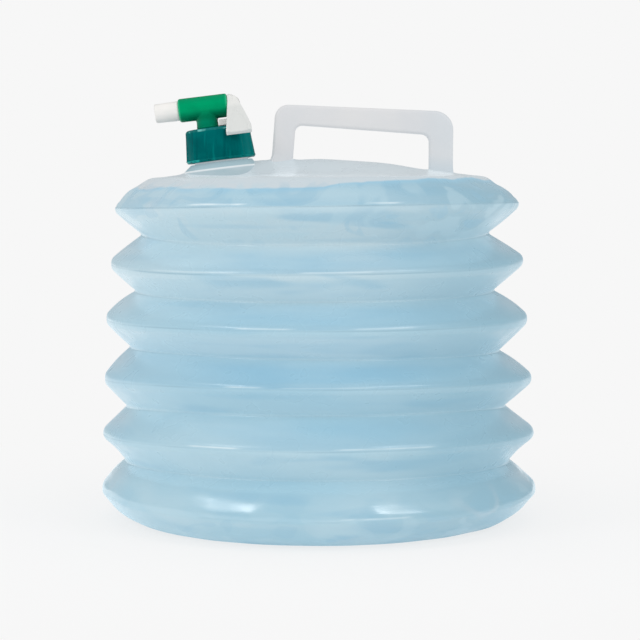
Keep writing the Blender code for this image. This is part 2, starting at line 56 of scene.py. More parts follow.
# The container's wall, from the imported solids: ridge and valley tips as (radius, height)
RIDGES = ((131.45, 18.3), (130.3, 51.35), (129.0, 84.3), (127.1, 120.0), (124.4, 154.3), (121.7, 188.4))
VALLEYS = ((116.8, 34.9), (114.7, 67.9), (111.9, 102.3), (108.7, 137.3), (104.9, 171.5))
RIDGE_ROUNDING = 5.0
VALLEY_ROUNDING = 1.6
WALL = 1.0
SEGMENTS = 240
DOME_SHOULDER = (105.9, 204.6)
SHOULDER_ROUNDING = 14.0
CROWN = 206.4
TOP_LEVEL = 5

# How the soft wall differs from a true round. A level is 0 at the lowest ridge, 5 at the top one, 6 at the
# crown and -1 at the middle of the base. SHIFTS move the wall to the right, TILTS lift its right side and
# lower its left one, SWELLS widen it, FRONTS lift its front
LEVELS = (-1, -0.4, 0, 0.25, 0.5, 1, 1.5, 2, 2.5, 3, 3.5, 4, 4.5, 5, 5.35, 6)
SHIFTS = (0, 0.4, 0.7, -0.7, -0.6, 0.3, -1.6, 0, -2.0, -0.6, -2.0, -0.6, -1.8, -0.9, -0.5, 0)
TILTS = (0, 0, 0, -0.2, -0.4, 0, 0, 0.2, -1.2, 0.1, 0.1, 1.1, 0.5, 1.6, 0.8, 0)
SWELLS = (0, -2.0, 0.1, -0.3, -0.3, 0, 0, 0, 0, 0, 0, 0, 0, 0, -2.2, 0)
FRONTS = (0, 0, -1.4, -0.5, 2.3, 3.7, 5.4, 4.4, 1.9, 0.6, -1.6, -3.1, -4.3, 0, 0, 0)

# How far the water swells each fold's side above its ridge, and the side that hangs down to the valley below
RISING_BULGES = (3.4, 0.0, 1.0, 1.3, 0.5)
FALLING_BULGES = (-1.0, 0.2, 0.3, 0.3, 0.3)

# How strongly each fold's deep band of painted shade, its pale band of painted light and its crest lines
# show, the lowest fold first
DEEP_SHADE_BANDS = (0.15, 0.5, 1.0, 0.65, 0.7, 0.9)
PALE_LIGHT_BANDS = (0.3, 0.2, 0.9, 0.6, 0.0, 0.0)
CREST_LINES = (0.7, 0.7, 0.8, 0.9, 0.8, 0.6)

# Where light catches along each ridge in front, as (from x, to x, strength), the lowest ridge first
GLINTS = (
    ((14, 20, 0.5), (25, 50, 0.7)),
    ((-71, -44, 0.9), (11, 63, 0.55)),
    ((-50, -32, 0.7), (-20, 30, 0.3)),
    ((-44, -15, 0.7), (20, 52, 0.35)),
    ((-92, -46, 0.4), (-9, 30, 0.6)),
    ((-71, -41, 1.0), (28, 44, 0.9)),
)

# The lowest ridge is round, with a dark crest line in three places only
LOWEST_CREST = ((-65, -14, 1.0), (-6, 14, 0.7), (24, 52, 0.6))

# Neck, on an axis that leans towards the spout. Heights are from the cap's lower edge
NECK = Vector((-58.4, 0, 215.2))
LEAN = 7.0
NECK_RADIUS = 16.1
NECK_BORE = 14.3
NECK_TOP = 15.9
BOSS_SHIFT = 1.2
THREAD_PITCH = 4.0
THREAD_TURNS = 2.25

# Cap
CAP_HEIGHT = 20.0
CAP_BORE = 17.8
CAP_ROOF = 17.9
RIB_STEP = 30

# Tap and plug. The barrel lies along its own X, with the spout at the negative end
BARREL = Vector((-6.2, -2.0, 32.6))
BARREL_RADIUS = 7.1
BARREL_LEFT = -15.4
BARREL_RIGHT = 14.3
BARREL_BORE = 5.75
SPOUT_END = -29.8
SPOUT_BORE = 4.0
PLUG_RADIUS = 5.45
HUB_FACE = 14.6
HUB_RADIUS = 6.5
LEVER_LENGTH = 26.0
LEVER_TURN = 60
PEG_TURN = 20

# Handle: half its thickness, its edges' rounding, and where its feet lift the dome, as (from x, to x, rise)
HANDLE_HALF = 3.9
HANDLE_EDGE = 2.2
HANDLE_FEET = ((-29.1, -14.3, 0.7), (66.2, 82.4, 0.5))


def step_between(low, high, share):
    return low + (high - low) * share


def eased(share):
    share = min(1, max(0, share))
    return share * share * (3 - 2 * share)


def table_value(table, level):
    """The table's value at a level, along straight lines between its entries."""
    for low, high, a, b in zip(LEVELS, LEVELS[1:], table, table[1:]):
        if level <= high:
            return step_between(a, b, (level - low) / (high - low))
    return table[-1]


def fillet(start, corner, end, radius, steps):
    """Points of the arc that rounds a corner."""
    back, ahead = (start - corner).normalized(), (end - corner).normalized()
    half = back.angle(ahead) / 2
    reach = radius / math.tan(half)
    centre = corner + (back + ahead).normalized() * (radius / math.sin(half))
    first = (corner + back * reach - centre).normalized()
    last = (corner + ahead * reach - centre).normalized()
    return [centre + first.slerp(last, step / steps) * radius for step in range(steps + 1)]


def rounded(corners, steps):
    """An open outline of (x, y, radius) corners with its corners rounded."""
    points = [Vector(corner[:2]) for corner in corners]
    out = [points[0]]
    for before, corner, after, spec in zip(points, points[1:], points[2:], corners[1:]):
        out += fillet(before, corner, after, spec[2], steps) if spec[2] else [corner]
    return [*out, points[-1]]


def new_object(name, shape):
    bmesh.ops.recalc_face_normals(shape, faces=shape.faces)
    mesh = bpy.data.meshes.new(name)
    shape.to_mesh(mesh)
    shape.free()
    mesh.shade_smooth()
    made = bpy.data.objects.new(name, mesh)
    SCENE.collection.objects.link(made)
    return made


def skin(name, rings, closed=True):
    """A surface through rings of points in millimetres. A ring of one point closes it there.

    closed joins the last ring to the first, which makes a shell with a thickness.
    """
    shape = bmesh.new()
    made = [[shape.verts.new(Vector(point) * MM) for point in ring] for ring in rings]
    following = made[1:] + made[:1] if closed else made[1:]
    for ring, other in zip(made, following):
        count = max(len(ring), len(other))
        if count == 1:
            continue
        for step in range(count):
            after = (step + 1) % count
            corners = [ring[step % len(ring)], ring[after % len(ring)]]
            corners += [other[after % len(other)], other[step % len(other)]]
            shape.faces.new(list(dict.fromkeys(corners)))
    return new_object(name, shape)


def lathe(name, profile, segments=96, axis="Z"):
    """A closed profile of (radius, height) turned about Z or X."""
    rings = []
    for radius, height in profile:
        ring = []
        for step in range(segments if radius > 0 else 1):
            angle = 2 * math.pi * step / segments
            a, b = radius * math.cos(angle), radius * math.sin(angle)
            ring.append((height, a, b) if axis == "X" else (a, b, height))
        rings.append(ring)
    return skin(name, rings)


def shade(made, angle):
    """Smooth shading, but for edges that turn by more than the angle."""
    made.data.shade_smooth()
    made.data.set_sharp_from_angle(angle=math.radians(angle))


def apply_modifiers(made):
    bpy.context.view_layer.update()
    graph = bpy.context.evaluated_depsgraph_get()
    mesh = bpy.data.meshes.new_from_object(made.evaluated_get(graph))
    old = made.data
    made.modifiers.clear()
    made.data = mesh
    bpy.data.meshes.remove(old)
    return made


def fused(name, parts, voxel, rounds):
    """One moulding from overlapping closed parts, remeshed together and smoothed to round their joints."""
    bpy.context.view_layer.update()
    shape = bmesh.new()
    for part in parts:
        part.data.transform(part.matrix_world)
        shape.from_mesh(part.data)
    for part in parts:
        bpy.data.objects.remove(part)
    made = new_object(name, shape)
    remesh = made.modifiers.new("remesh", "REMESH")
    remesh.mode = "VOXEL"
    remesh.voxel_size = voxel * MM
    remesh.use_smooth_shade = True
    smooth = made.modifiers.new("smooth", "SMOOTH")
    smooth.factor = 0.5
    smooth.iterations = rounds
    return apply_modifiers(made)


def cut(made, tool):
    """Takes the tool's volume out of a piece, and the tool away."""
    step = made.modifiers.new("cut", "BOOLEAN")
    step.operation = "DIFFERENCE"
    step.solver = "EXACT"
    step.object = tool
    apply_modifiers(made)
    bpy.data.objects.remove(tool)
    shade(made, 40)
    return made


def place(made, matrix):
    """Moves a piece that was built about a local origin to its place in the row frame."""
    made.data.transform(matrix)
    return made


NECK_FRAME = Matrix.Translation(NECK * MM) @ Matrix.Rotation(-math.radians(LEAN), 4, "Y")
BARREL_FRAME = NECK_FRAME @ Matrix.Translation(BARREL * MM)


# Container wall


class Spot(NamedTuple):
    """A point of the wall's outer profile. push is how far water swells it there, as (radius, height)."""

    radius: float
    height: float
    level: float
    crest: float = 0.0
    shine: float = 0.0
    push: tuple = (0.0, 0.0)


def wall_profile():
    """The folds, from the lowest ridge's tip to the top one's."""
    spots = []
    for fold, valley in enumerate(VALLEYS):
        low, high = RIDGES[fold], RIDGES[fold + 1]
        rising = flank(Vector(low), Vector(valley), RISING_BULGES[fold], 0.6 if fold == 0 else 0.5)
        falling = flank(Vector(high), Vector(valley), FALLING_BULGES[fold])
        line = CREST_LINES[fold]
        spots += [spot._replace(level=fold + spot.level, crest=spot.crest * line) for spot in rising[:-1]]
        falling = [spot._replace(level=fold + 1 - spot.level, crest=0.0, shine=0.0) for spot in falling]
        spots += falling[:0:-1]
    spots.append(Spot(*RIDGES[-1], TOP_LEVEL, CREST_LINES[-1]))
    return spots


def flank(ridge, valley, bulge, peak=0.5):
    """One side of a fold, from the ridge's rounded tip to the valley's. Its levels run from 0 to a half.

    peak is the share of the way up at which the bulge stands furthest out.
    """
    side = math.copysign(1, valley.y - ridge.y)
    half = math.atan2(abs(valley.y - ridge.y), ridge.x - valley.x)
    turn = math.pi / 2 - half
    ridge_centre = ridge - Vector((RIDGE_ROUNDING, 0))
    valley_centre = valley + Vector((VALLEY_ROUNDING, 0))
    angles = [turn * step / 6 for step in range(7)]
    arms = [Vector((math.cos(angle), side * math.sin(angle))) for angle in angles]
    tip = [ridge_centre + arm * RIDGE_ROUNDING for arm in arms]
    foot = [valley_centre - arm * VALLEY_ROUNDING for arm in arms[::-2]]
    middle = [tip[-1].lerp(foot[0], step / 10) for step in range(1, 10)]
    points = tip + middle + foot
    length = sum((b - a).length for a, b in zip(points, points[1:]))
    spots, gone = [], 0
    for index, point in enumerate(points):
        gone += (point - points[index - 1]).length if index else 0
        share = gone / length
        swell = bulge * math.sin(math.pi * share ** (math.log(0.5) / math.log(peak)))
        push = arms[-1] * swell
        crest = float(index == 0)
        shine = 1.0 if index == 2 else 0.0
        spots.append(Spot(point.x, point.y, share / 2, crest, shine, tuple(push)))
    return spots


def soft_place(spot, angle, lift):
    """Where a point of the round wall lies on the soft one."""
    c, s = math.cos(angle), math.sin(angle)
    level = spot.level
    grip = eased(spot.radius / 60)
    wave = noise.noise(Vector((c * 1.3, s * 1.3, level * 0.9 + 3.0)))
    crease = noise.noise(Vector((c * 5.0, s * 5.0, level * 2.0 + 11.0)))
    top = eased((level - 3.9) / 0.8) * (1 - eased((level - 5.2) / 0.3))
    foot = eased((0.9 - level) / 0.9)
    sides = step_between(0.2, 1.0, c * c)
    if 0 <= level < 0.5:
        sides = step_between(0.25, 1.0, eased(-s / 0.6))
    radius = spot.radius + spot.push[0] * sides
    radius += grip * (table_value(SWELLS, level) + 0.45 * wave + (0.2 + 0.4 * top + 0.9 * foot) * crease)
    rise = 0.35 * noise.noise(Vector((c * 1.6, s * 1.6, level * 1.1 + 21.0)))
    height = spot.height + spot.push[1] * sides
    height += grip * (table_value(TILTS, level) * c + rise * eased((level + 0.2) / 0.4))
    height += grip * table_value(FRONTS, level) * eased(-s)
    x, y = radius * c + table_value(SHIFTS, level) * grip, radius * s
    return x, y, max(0, height) + (lift(x, y) if lift else 0)


def ring_of(spot, lift=None):
    if spot.radius <= 0:
        return [soft_place(spot, 0, lift)]
    return [soft_place(spot, 2 * math.pi * step / SEGMENTS, lift) for step in range(SEGMENTS)]


def inner_spots(spots):
    """The wall's inner side, with every second point, moved in by the wall's thickness."""
    moved = []
    last = len(spots) - 1
    for index, spot in enumerate(spots):
        if index % 2 and index != last:
            continue
        if spot.radius <= 0:
            moved.append(spot._replace(height=spot.height + (WALL if index == 0 else -WALL)))
            continue
        if index in (0, last):
            moved.append(spot._replace(radius=spot.radius - WALL, crest=0.0))
            continue
        before, after = Vector(spots[index - 1][:2]), Vector(spots[index + 1][:2])
        along = (after - before).normalized()
        radius, height = spot.radius - along.y * WALL, spot.height + along.x * WALL
        moved.append(spot._replace(radius=radius, height=height, crest=0.0, shine=0.0))
    return moved[::-1]


def shade_and_light_bands(level):
    """Painted shade and painted light on a fold: a deeper blue above a ridge, where the fold faces up, and a
    paler band above a valley, where it faces down.
    """
    if level < 0:
        return 0.0, 0.0
    fold = min(int(level), TOP_LEVEL)
    share = level - fold
    deep = DEEP_SHADE_BANDS[fold] * eased(share / 0.03) * (1 - eased((share - 0.3) / 0.2))
    pale = PALE_LIGHT_BANDS[fold] * eased((share - 0.48) / 0.1) * (1 - eased((share - 0.88) / 0.1))
    return deep, pale


def marked(marks, x, y):
    """How strongly a ridge is marked at a place. The back has the front's pattern, turned half round."""
    across = x if y < 0 else -x
    return max(part * eased(min(across - low, high - across) / 8 + 0.5) for low, high, part in marks)


def write_values(made, name, values):
    """Stores a value per vertex, which the material reads."""
    attribute = made.data.attributes.new(name, "FLOAT", "POINT")
    attribute.data.foreach_set("value", values)


def wall_piece(name, spots, lift=None):
    """A part of the container's wall, outside and inside, with the values that its paint reads."""
    spots = spots + inner_spots(spots)
    rings = [ring_of(spot, lift) for spot in spots]
    made = skin(name, rings)
    shade(made, 60)
    values = {"crest": [], "shine": [], "side_pale_light": [], "deep": [], "pale": []}
    for ring, spot in zip(rings, spots):
        in_folds = 0 <= spot.level < TOP_LEVEL
        rising = 1 - eased(abs((spot.level % 1) - 0.3) / 0.3) if in_folds else 0
        # deep and pale carry each fold's painted shade and painted light
        deep, pale = shade_and_light_bands(spot.level)
        for x, y, _ in ring:
            across = abs(x) / max(1, math.hypot(x, y))
            values["crest"].append(spot.crest * (1 if spot.level else marked(LOWEST_CREST, x, y)))
            values["shine"].append(marked(GLINTS[int(spot.level)], x, y) if spot.shine else 0.0)
            # Painted light: a pale band on the rising flanks at the far left and right
            values["side_pale_light"].append(eased((across - 0.84) / 0.14) * rising)
            values["deep"].append(deep)
            values["pale"].append(pale)
    for key, items in values.items():
        write_values(made, key, items)
    return made


def base_points():
    """The base, from its middle to the lowest ridge's tip."""
    tip = Vector(RIDGES[0])
    rings = ((0, -1), (25, -0.95), (50, -0.9), (75, -0.8), (92, -0.7))
    flat = [Spot(radius, 0, level) for radius, level in rings]
    outline = [(96, 0, 0), (119, 0, 23), (tip.x + 1.0, tip.y - 1.0, 5), (tip.x - 2.2, tip.y + 5.0, 0)]
    arc = [point for point in rounded(outline, 12) if point.y < tip.y - 0.6]
    for index, point in enumerate(arc):
        flat.append(Spot(point.x, point.y, step_between(-0.65, 0, (index + 1) / (len(arc) + 1))))
    return [*flat, Spot(*tip, 0.0, CREST_LINES[0])]


def spine(x, y):
    """How far the dome stands above its plain round.

    The spine lies along the parting line. The handle's feet, the neck's boss, the film between the two and
    the dome's shoulders at the left and right each add a little.
    """
    along = 1 - min(1, abs(x) / 100) ** 2
    width = step_between(14, 28, eased((x + 40) / 90))
    lift = 9.8 * along**1.5 * math.exp(-((y / width) ** 2))
    for left, right, rise in HANDLE_FEET:
        gap_x = max(left - x, x - right, 0)
        gap_y = max(abs(y) - 4.0, 0)
        lift += rise * math.exp(-math.hypot(gap_x, gap_y) / 1.3)
    from_boss = math.hypot(x - NECK.x + 1.6, y) - 21.5
    lift += 1.0 * math.exp(-max(0, from_boss) / 2.5)
    lift += 0.5 * noise.noise(Vector((x / 28, y / 28, 4.2)))
    lift += 1.6 * math.exp(-(((x + 34) / 7) ** 2) - (y / 9) ** 2)
    radius = math.hypot(x, y)
    side = x / max(1, radius)
    lift += 0.7 * eased(abs(side)) * eased((radius - 78) / 12) * (1 - eased((radius - 98) / 10))
    return lift - 0.9 * eased(side) * eased((radius - 101) / 6) * (1 - eased((radius - 112) / 7))


def dome_points():
    """The dome, from the top ridge's tip to the middle of the crown."""
    tip, lower, shoulder = Vector(RIDGES[-1]), Vector(VALLEYS[-1]), Vector(DOME_SHOULDER)
    half = math.atan2(tip.y - lower.y, tip.x - lower.x)
    corner = tip + Vector((RIDGE_ROUNDING * (1 / math.sin(half) - 1), 0))
    arc = [point for point in fillet(lower, corner, shoulder, RIDGE_ROUNDING, 12) if point.y > tip.y + 0.2]
    shoulder_arc = fillet(corner, shoulder, Vector((0, CROWN)), SHOULDER_ROUNDING, 10)
    side = [arc[-1].lerp(shoulder_arc[0], step / 5) for step in range(1, 5)]
    for step, point in enumerate(side, 1):
        point += Vector((0.8, 0.8)) * math.sin(math.pi * step / 5)
    line = [*arc, *side, *shoulder_arc]
    spots = [Spot(*tip, TOP_LEVEL, CREST_LINES[-1])]
    for index, point in enumerate(line):
        level = TOP_LEVEL + 0.5 * (index + 1) / len(line)
        spots.append(Spot(point.x, point.y, level, shine=float(index == 1)))
    edge = line[-1]
    rings = 62
    for step in range(rings - 1, -1, -1):
        share = step / rings
        level = TOP_LEVEL + step_between(1, 0.5, share)
        spots.append(Spot(edge.x * share, step_between(CROWN, edge.y, share), level))
    return spots


def make_container():
    base = wall_piece("base_skin", base_points())
    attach(base, "base")
    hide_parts("base_pan")
    bellows = wall_piece("bellows_skin", wall_profile())
    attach(bellows, "base")
    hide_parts("bellows_foot", "bellows_ring_1", "bellows_ring_2", "bellows_ring_3")
    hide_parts("bellows_ring_4", "bellows_head")
    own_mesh(bellows)
    top = wall_piece("top_skin", dome_points(), spine)
    open_neck(top)
    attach(top, "top")
    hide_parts("top_shell")
    return base, bellows, top


def open_neck(top):
    """Cuts the dome's skin away inside the neck's boss."""
    shape = bmesh.new()
    shape.from_mesh(top.data)
    inverse = NECK_FRAME.inverted()
    doomed = []
    for face in shape.faces:
        local = inverse @ face.calc_center_median()
        if math.hypot(local.x, local.y) < 17.0 * MM and local.z > -30 * MM:
            doomed.append(face)
    bmesh.ops.delete(shape, geom=doomed, context="FACES")
    edges = [edge for edge in shape.edges if edge.is_boundary]
    bmesh.ops.bridge_loops(shape, edges=edges)
    bmesh.ops.recalc_face_normals(shape, faces=shape.faces)
    shape.to_mesh(top.data)
    shape.free()
    shade(top, 60)


def thread(name, root, depth, start, inward=False):
    """A right-hand screw thread about the neck's axis, which fades out at both ends."""
    sign = -1 if inward else 1
    per_turn = 60
    steps = round(THREAD_TURNS * per_turn)
    rings = []
    for step in range(steps + 1):
        angle = 2 * math.pi * step / per_turn
        height = start + THREAD_PITCH * step / per_turn
        lead = min(1, (step + 1) / 10, (steps + 1 - step) / 10)
        section = ((-0.4, -1.0), (depth * 0.6 * lead, -0.75), (depth * lead, -0.4))
        section += ((depth * lead, 0.4), (depth * 0.6 * lead, 0.75), (-0.4, 1.0))
        ring = []
        for out, up in section:
            radius = root + sign * out
            ring.append((radius * math.cos(angle), radius * math.sin(angle), height + up))
        rings.append(ring)
    made = skin(name, rings, closed=False)
    shape = bmesh.new()
    shape.from_mesh(made.data)
    bmesh.ops.holes_fill(shape, edges=[edge for edge in shape.edges if edge.is_boundary])
    bmesh.ops.recalc_face_normals(shape, faces=shape.faces)
    shape.to_mesh(made.data)
    shape.free()
    return place(made, NECK_FRAME)


def mark_band(made, name, radii, heights):
    """Stores 1 on the vertices between two radii and two heights, and 0 on the others."""
    values = []
    for vertex in made.data.vertices:
        radius, height = math.hypot(vertex.co.x, vertex.co.y) / MM, vertex.co.z / MM
        values.append(float(radii[0] < radius < radii[1] and heights[0] < height < heights[1]))
    write_values(made, name, values)


def make_neck():
    """The boss, with its ledge, and the threaded neck, in one turned ring."""
    boss = [(15.2, -16, 0), (22.6, -16, 0), (22.25, -6.2, 0), (22.2, -5.6, 0), (22.1, -4.7, 0.4)]
    boss += [(21.57, -4.13, 0), (18.6, -0.9, 0.6), (NECK_RADIUS, -0.8, 0.2)]
    pipe = [(NECK_RADIUS, NECK_TOP, 0.5), (NECK_BORE, NECK_TOP, 0.5), (NECK_BORE, -6, 0)]
    neck = lathe("neck_skin", rounded(boss + pipe, 5), 128)
    # Bands that the paint reads: painted shade on the skirt, a painted highlight along the ledge, the cap's
    # painted shadow on the slope
    mark_band(neck, "skirt", (20, 30), (-20, -5.5))
    mark_band(neck, "ledge", (21.65, 30), (-5.2, 20))
    mark_band(neck, "slope", (17.5, 30), (-4.3, -0.3))
    for vertex in neck.data.vertices:
        below = max(0, -vertex.co.z / MM - 0.9)
        vertex.co.x -= BOSS_SHIFT * MM * min(1, below / 3.8)
    place(neck, NECK_FRAME)
    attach(neck, "top")
    ridge = thread("neck_thread", NECK_RADIUS, 1.2, 3.5)
    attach(ridge, "top")
    return neck, ridge


def handle_line(corners):
    """Points along one side of the handle: a post, the bar and the other post, with rounded corners."""
    left, left_top, right_top, right = [Vector(corner[:2]) for corner in corners]
    first = fillet(left, left_top, right_top, corners[1][2], 10)
    second = fillet(left_top, right_top, right, corners[2][2], 10)
    legs = []
    for start, end, count in ((left, first[0], 16), (first[-1], second[0], 24), (second[-1], right, 16)):
        legs.append([start.lerp(end, step / count) for step in range(count + 1)])
    return legs[0] + first[1:-1] + legs[1] + second[1:-1] + legs[2]


def handle_section(middle, half, spread):
    """One section of the handle: a flat bar with rounded edges, across the line from middle along half."""
    length = half.length
    thick = HANDLE_HALF + 1.1 * spread
    ring = []
    for quarter in range(4):
        cx = (length - HANDLE_EDGE) * (1 if quarter in (0, 3) else -1)
        cy = (thick - HANDLE_EDGE) * (1 if quarter in (0, 1) else -1)
        for step in range(5):
            turn = math.pi / 2 * (quarter + step / 4)
            across, y = cx + HANDLE_EDGE * math.cos(turn), cy + HANDLE_EDGE * math.sin(turn)
            point = middle + half.normalized() * across
            wave = 0.12 * noise.noise(Vector((point.x / 9, y / 4, point.y / 9)))
            ring.append((point.x, y * (1 + wave / thick), point.y))
    return ring


def middle_of(ring):
    """A ring of one point, which closes a skin at a ring's middle."""
    return [tuple(sum(axis) / len(ring) for axis in zip(*ring))]


def make_handle():
    """The moulded handle: a flat bar with soft edges, whose feet spread into the dome."""
    outer_line = handle_line([(-29.0, 200.5), (-25.5, 249.1, 8.2), (81.6, 244.6, 11.5), (81.3, 199.5)])
    inner_line = handle_line([(-16.4, 200.5), (-13.5, 236.5, 4.4), (66.9, 230.6, 5.0), (66.9, 199.5)])
    rings = []
    for outer, inner in zip(outer_line, inner_line):
        middle = (outer + inner) / 2
        half = (outer - inner) / 2
        above = middle.y - 205.5 - spine(middle.x, 0) + 1.5
        spread = (1.0 if middle.x < 20 else 0.4) * math.exp(-max(0, above) / 1.3)
        rings.append(handle_section(middle, half * (1 + spread / half.length), spread))
    rings = [middle_of(rings[0]), *rings, middle_of(rings[-1])]
    handle = skin("handle_skin", rings, closed=False)
    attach(handle, "top")
    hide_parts("carry_handle")
    return handle


# Cap, tap and valve plug


def make_cap():
    """The screw cap: a flared skirt with soft ribs, a rounded top edge, an inner thread."""
    segments = 288
    roof = [(0, CAP_HEIGHT, 0), (19.35, CAP_HEIGHT, 2.0)]
    skirt = [(20.3, 2.0, 0.4), (20.75, 1.4, 0.3), (20.6, 0, 0.9), (CAP_BORE, 0, 0)]
    rings = []
    for radius, height in [*rounded(roof + skirt, 6), (CAP_BORE, CAP_ROOF), (0, CAP_ROOF)]:
        ring = []
        for step in range(segments if radius > 0 else 1):
            angle = 2 * math.pi * step / segments
            rib = abs((math.degrees(angle) + 92) % RIB_STEP - RIB_STEP / 2)
            crest = 1 - eased((rib - 1.6) / 2.2)
            depth = step_between(0.75, 0.4, height / 16) * (1 - eased((height - 15.0) / 1.6))
            outer = radius > 19 and height > 1.3
            r = radius + (crest * depth if outer else 0)
            ring.append((r * math.cos(angle), r * math.sin(angle), height))
        rings.append(ring)
    cap = skin("cap_skin", rings)
    # Bands where the paint puts painted glints: the lower rim and the top edge
    mark_band(cap, "rim", (19, 30), (0.2, 1.5))
    mark_band(cap, "edge", (17, 30), (18.6, 19.7))
    place(cap, NECK_FRAME)
    shade(cap, 50)
    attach(cap, "cap")
    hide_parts("screw_cap")
    ridge = thread("cap_thread", CAP_BORE, 1.15, 1.5, inward=True)
    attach(ridge, "cap")
    return cap, ridge


def rod(name, radius, left, right, segments):
    """A round rod along the barrel's axis, for a bore."""
    return lathe(name, [(0, left), (radius, left), (radius, right), (0, right)], segments, "X")


def make_tap():
    """The green T, with its stem rounded into the barrel."""
    ends = [(BARREL_RADIUS, BARREL_LEFT, 1.3), (BARREL_RADIUS, BARREL_RIGHT, 1.3)]
    barrel = lathe("barrel_part", rounded([(0, BARREL_LEFT, 0), *ends, (0, BARREL_RIGHT, 0)], 5), 96, "X")
    lip = [(0, 14.4), (5.8, 14.4), (6.9, 15.4), (6.9, 16.2), (5.8, 16.2)]
    collar = [(5.8, 20.3), (6.8, 20.4), (6.5, 21.6)]
    head = [(6.4, -8.5), (6.7, -6.5), (6.7, -3), (0, -3)]
    profile = [(radius, height - BARREL.z) for radius, height in lip + collar] + head
    stem = lathe("stem_part", profile, 96)
    stem.location.x = 0.8 * MM
    tap = fused("tap_skin", [barrel, stem], 0.3, 10)
    cut(tap, rod("bore_tool", BARREL_BORE, -20, 18, 96))
    # up is the height, from which the paint takes its painted shade under the barrel and down the stem
    write_values(tap, "up", [vertex.co.z / MM for vertex in tap.data.vertices])
    # end marks the barrel's end rims, where the paint puts painted highlights
    rims = (BARREL_LEFT + 0.2, BARREL_RIGHT - 0.2)
    gaps = [min(abs(vertex.co.x / MM - rim) for rim in rims) for vertex in tap.data.vertices]
    write_values(tap, "end", [eased(1.2 - gap) for gap in gaps])
    place(tap, BARREL_FRAME)
    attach(tap, "cap")
    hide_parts("tap_body")
    return tap


def lever_part():
    """The lever: it leaves the hub as a hood, widens to its tip and is dished between its rims."""
    rings = []
    for step in range(27):
        share = step / 26
        left = step_between(HUB_FACE + 0.2, HUB_FACE - 2.5, share)
        right = step_between(HUB_FACE + 4.6, HUB_FACE + 12.8, min(1, share / 0.85) ** 0.8)
        middle, half = (left + right) / 2, (right - left) / 2
        front = step_between(-6.1, 4.0, share)
        back = max(front + 2.6, step_between(4.6, 2.0, eased(share * 2.2)))
        dish_half = (half - 1.6) * eased((share - 0.1) / 0.6)
        columns = [step_between(left, right, column / 16) for column in range(17)]
        dips = [0.55 * eased((dish_half - abs(x - middle)) / 1.6) for x in columns]
        down = -LEVER_LENGTH * share
        ring = [(x, front + dip, down) for x, dip in zip(columns, dips)]
        rings.append(ring + [(x, back, down) for x in reversed(columns)])
    return skin("lever_plate", [middle_of(rings[0]), *rings, middle_of(rings[-1])], closed=False)


def block(name, low, high):
    """A box between two corners."""
    shape = bmesh.new()
    bmesh.ops.create_cube(shape, size=1)
    for vertex in shape.verts:
        vertex.co = Vector([low[i] if vertex.co[i] < 0 else high[i] for i in range(3)]) * MM
    return new_object(name, shape)


def make_plug():
    """The white moulding: spout, plug, hub, lever and stop peg."""
    spout = [(0, SPOUT_END, 0), (5.65, SPOUT_END, 0.9), (5.95, -15.7, 0), (PLUG_RADIUS, -15.7, 0)]
    hub = [(PLUG_RADIUS, HUB_FACE, 0), (HUB_RADIUS, HUB_FACE, 0.3), (HUB_RADIUS, HUB_FACE + 2.0, 2.0)]
    hub += [(3.4, HUB_FACE + 6.6, 2.5), (0, HUB_FACE + 7.4, 0)]
    body = lathe("plug_part", rounded(spout + hub, 6), 96, "X")
    lever = lever_part()
    lever.data.transform(Matrix.Rotation(-math.radians(LEVER_TURN), 4, "X"))
    lug = block("lug_part", (HUB_FACE + 0.3, -2.4, -13.0), (HUB_FACE + 3.0, 2.4, 0))
    peg = block("peg_part", (HUB_FACE - 6.8, -1.7, -13.1), (HUB_FACE + 1.5, 1.7, -9.1))
    for part in (lug, peg):
        part.data.transform(Matrix.Rotation(-math.radians(PEG_TURN), 4, "X"))
    plug = fused("plug_skin", [body, lever, lug, peg], 0.3, 7)
    cut(plug, rod("spout_tool", SPOUT_BORE, -34, 5, 64))
    # How much painted shade the hub and the lever take, more further from the barrel's axis
    values = []
    for vertex in plug.data.vertices:
        away = math.hypot(vertex.co.y, vertex.co.z) / MM
        past_hub = vertex.co.x / MM > HUB_FACE - 1.8
        values.append(0.4 + 0.6 * eased((away - HUB_RADIUS) / 3) if past_hub else 0.0)
    write_values(plug, "lever", values)
    place(plug, BARREL_FRAME)
    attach(plug, "plug")
    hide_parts("valve_plug")
    return plug


# Materials


def linear(colour):
    """A written 0-255 colour as the renderer's linear one."""
    values = [level / 255 for level in colour]
    return (*[v / 12.92 if v <= 0.04045 else ((v + 0.055) / 1.055) ** 2.4 for v in values], 1)


# Sockets of the colour mix node, whose names repeat
MIX_SHARE, MIX_A, MIX_B, MIX_RESULT = 0, 6, 7, 2


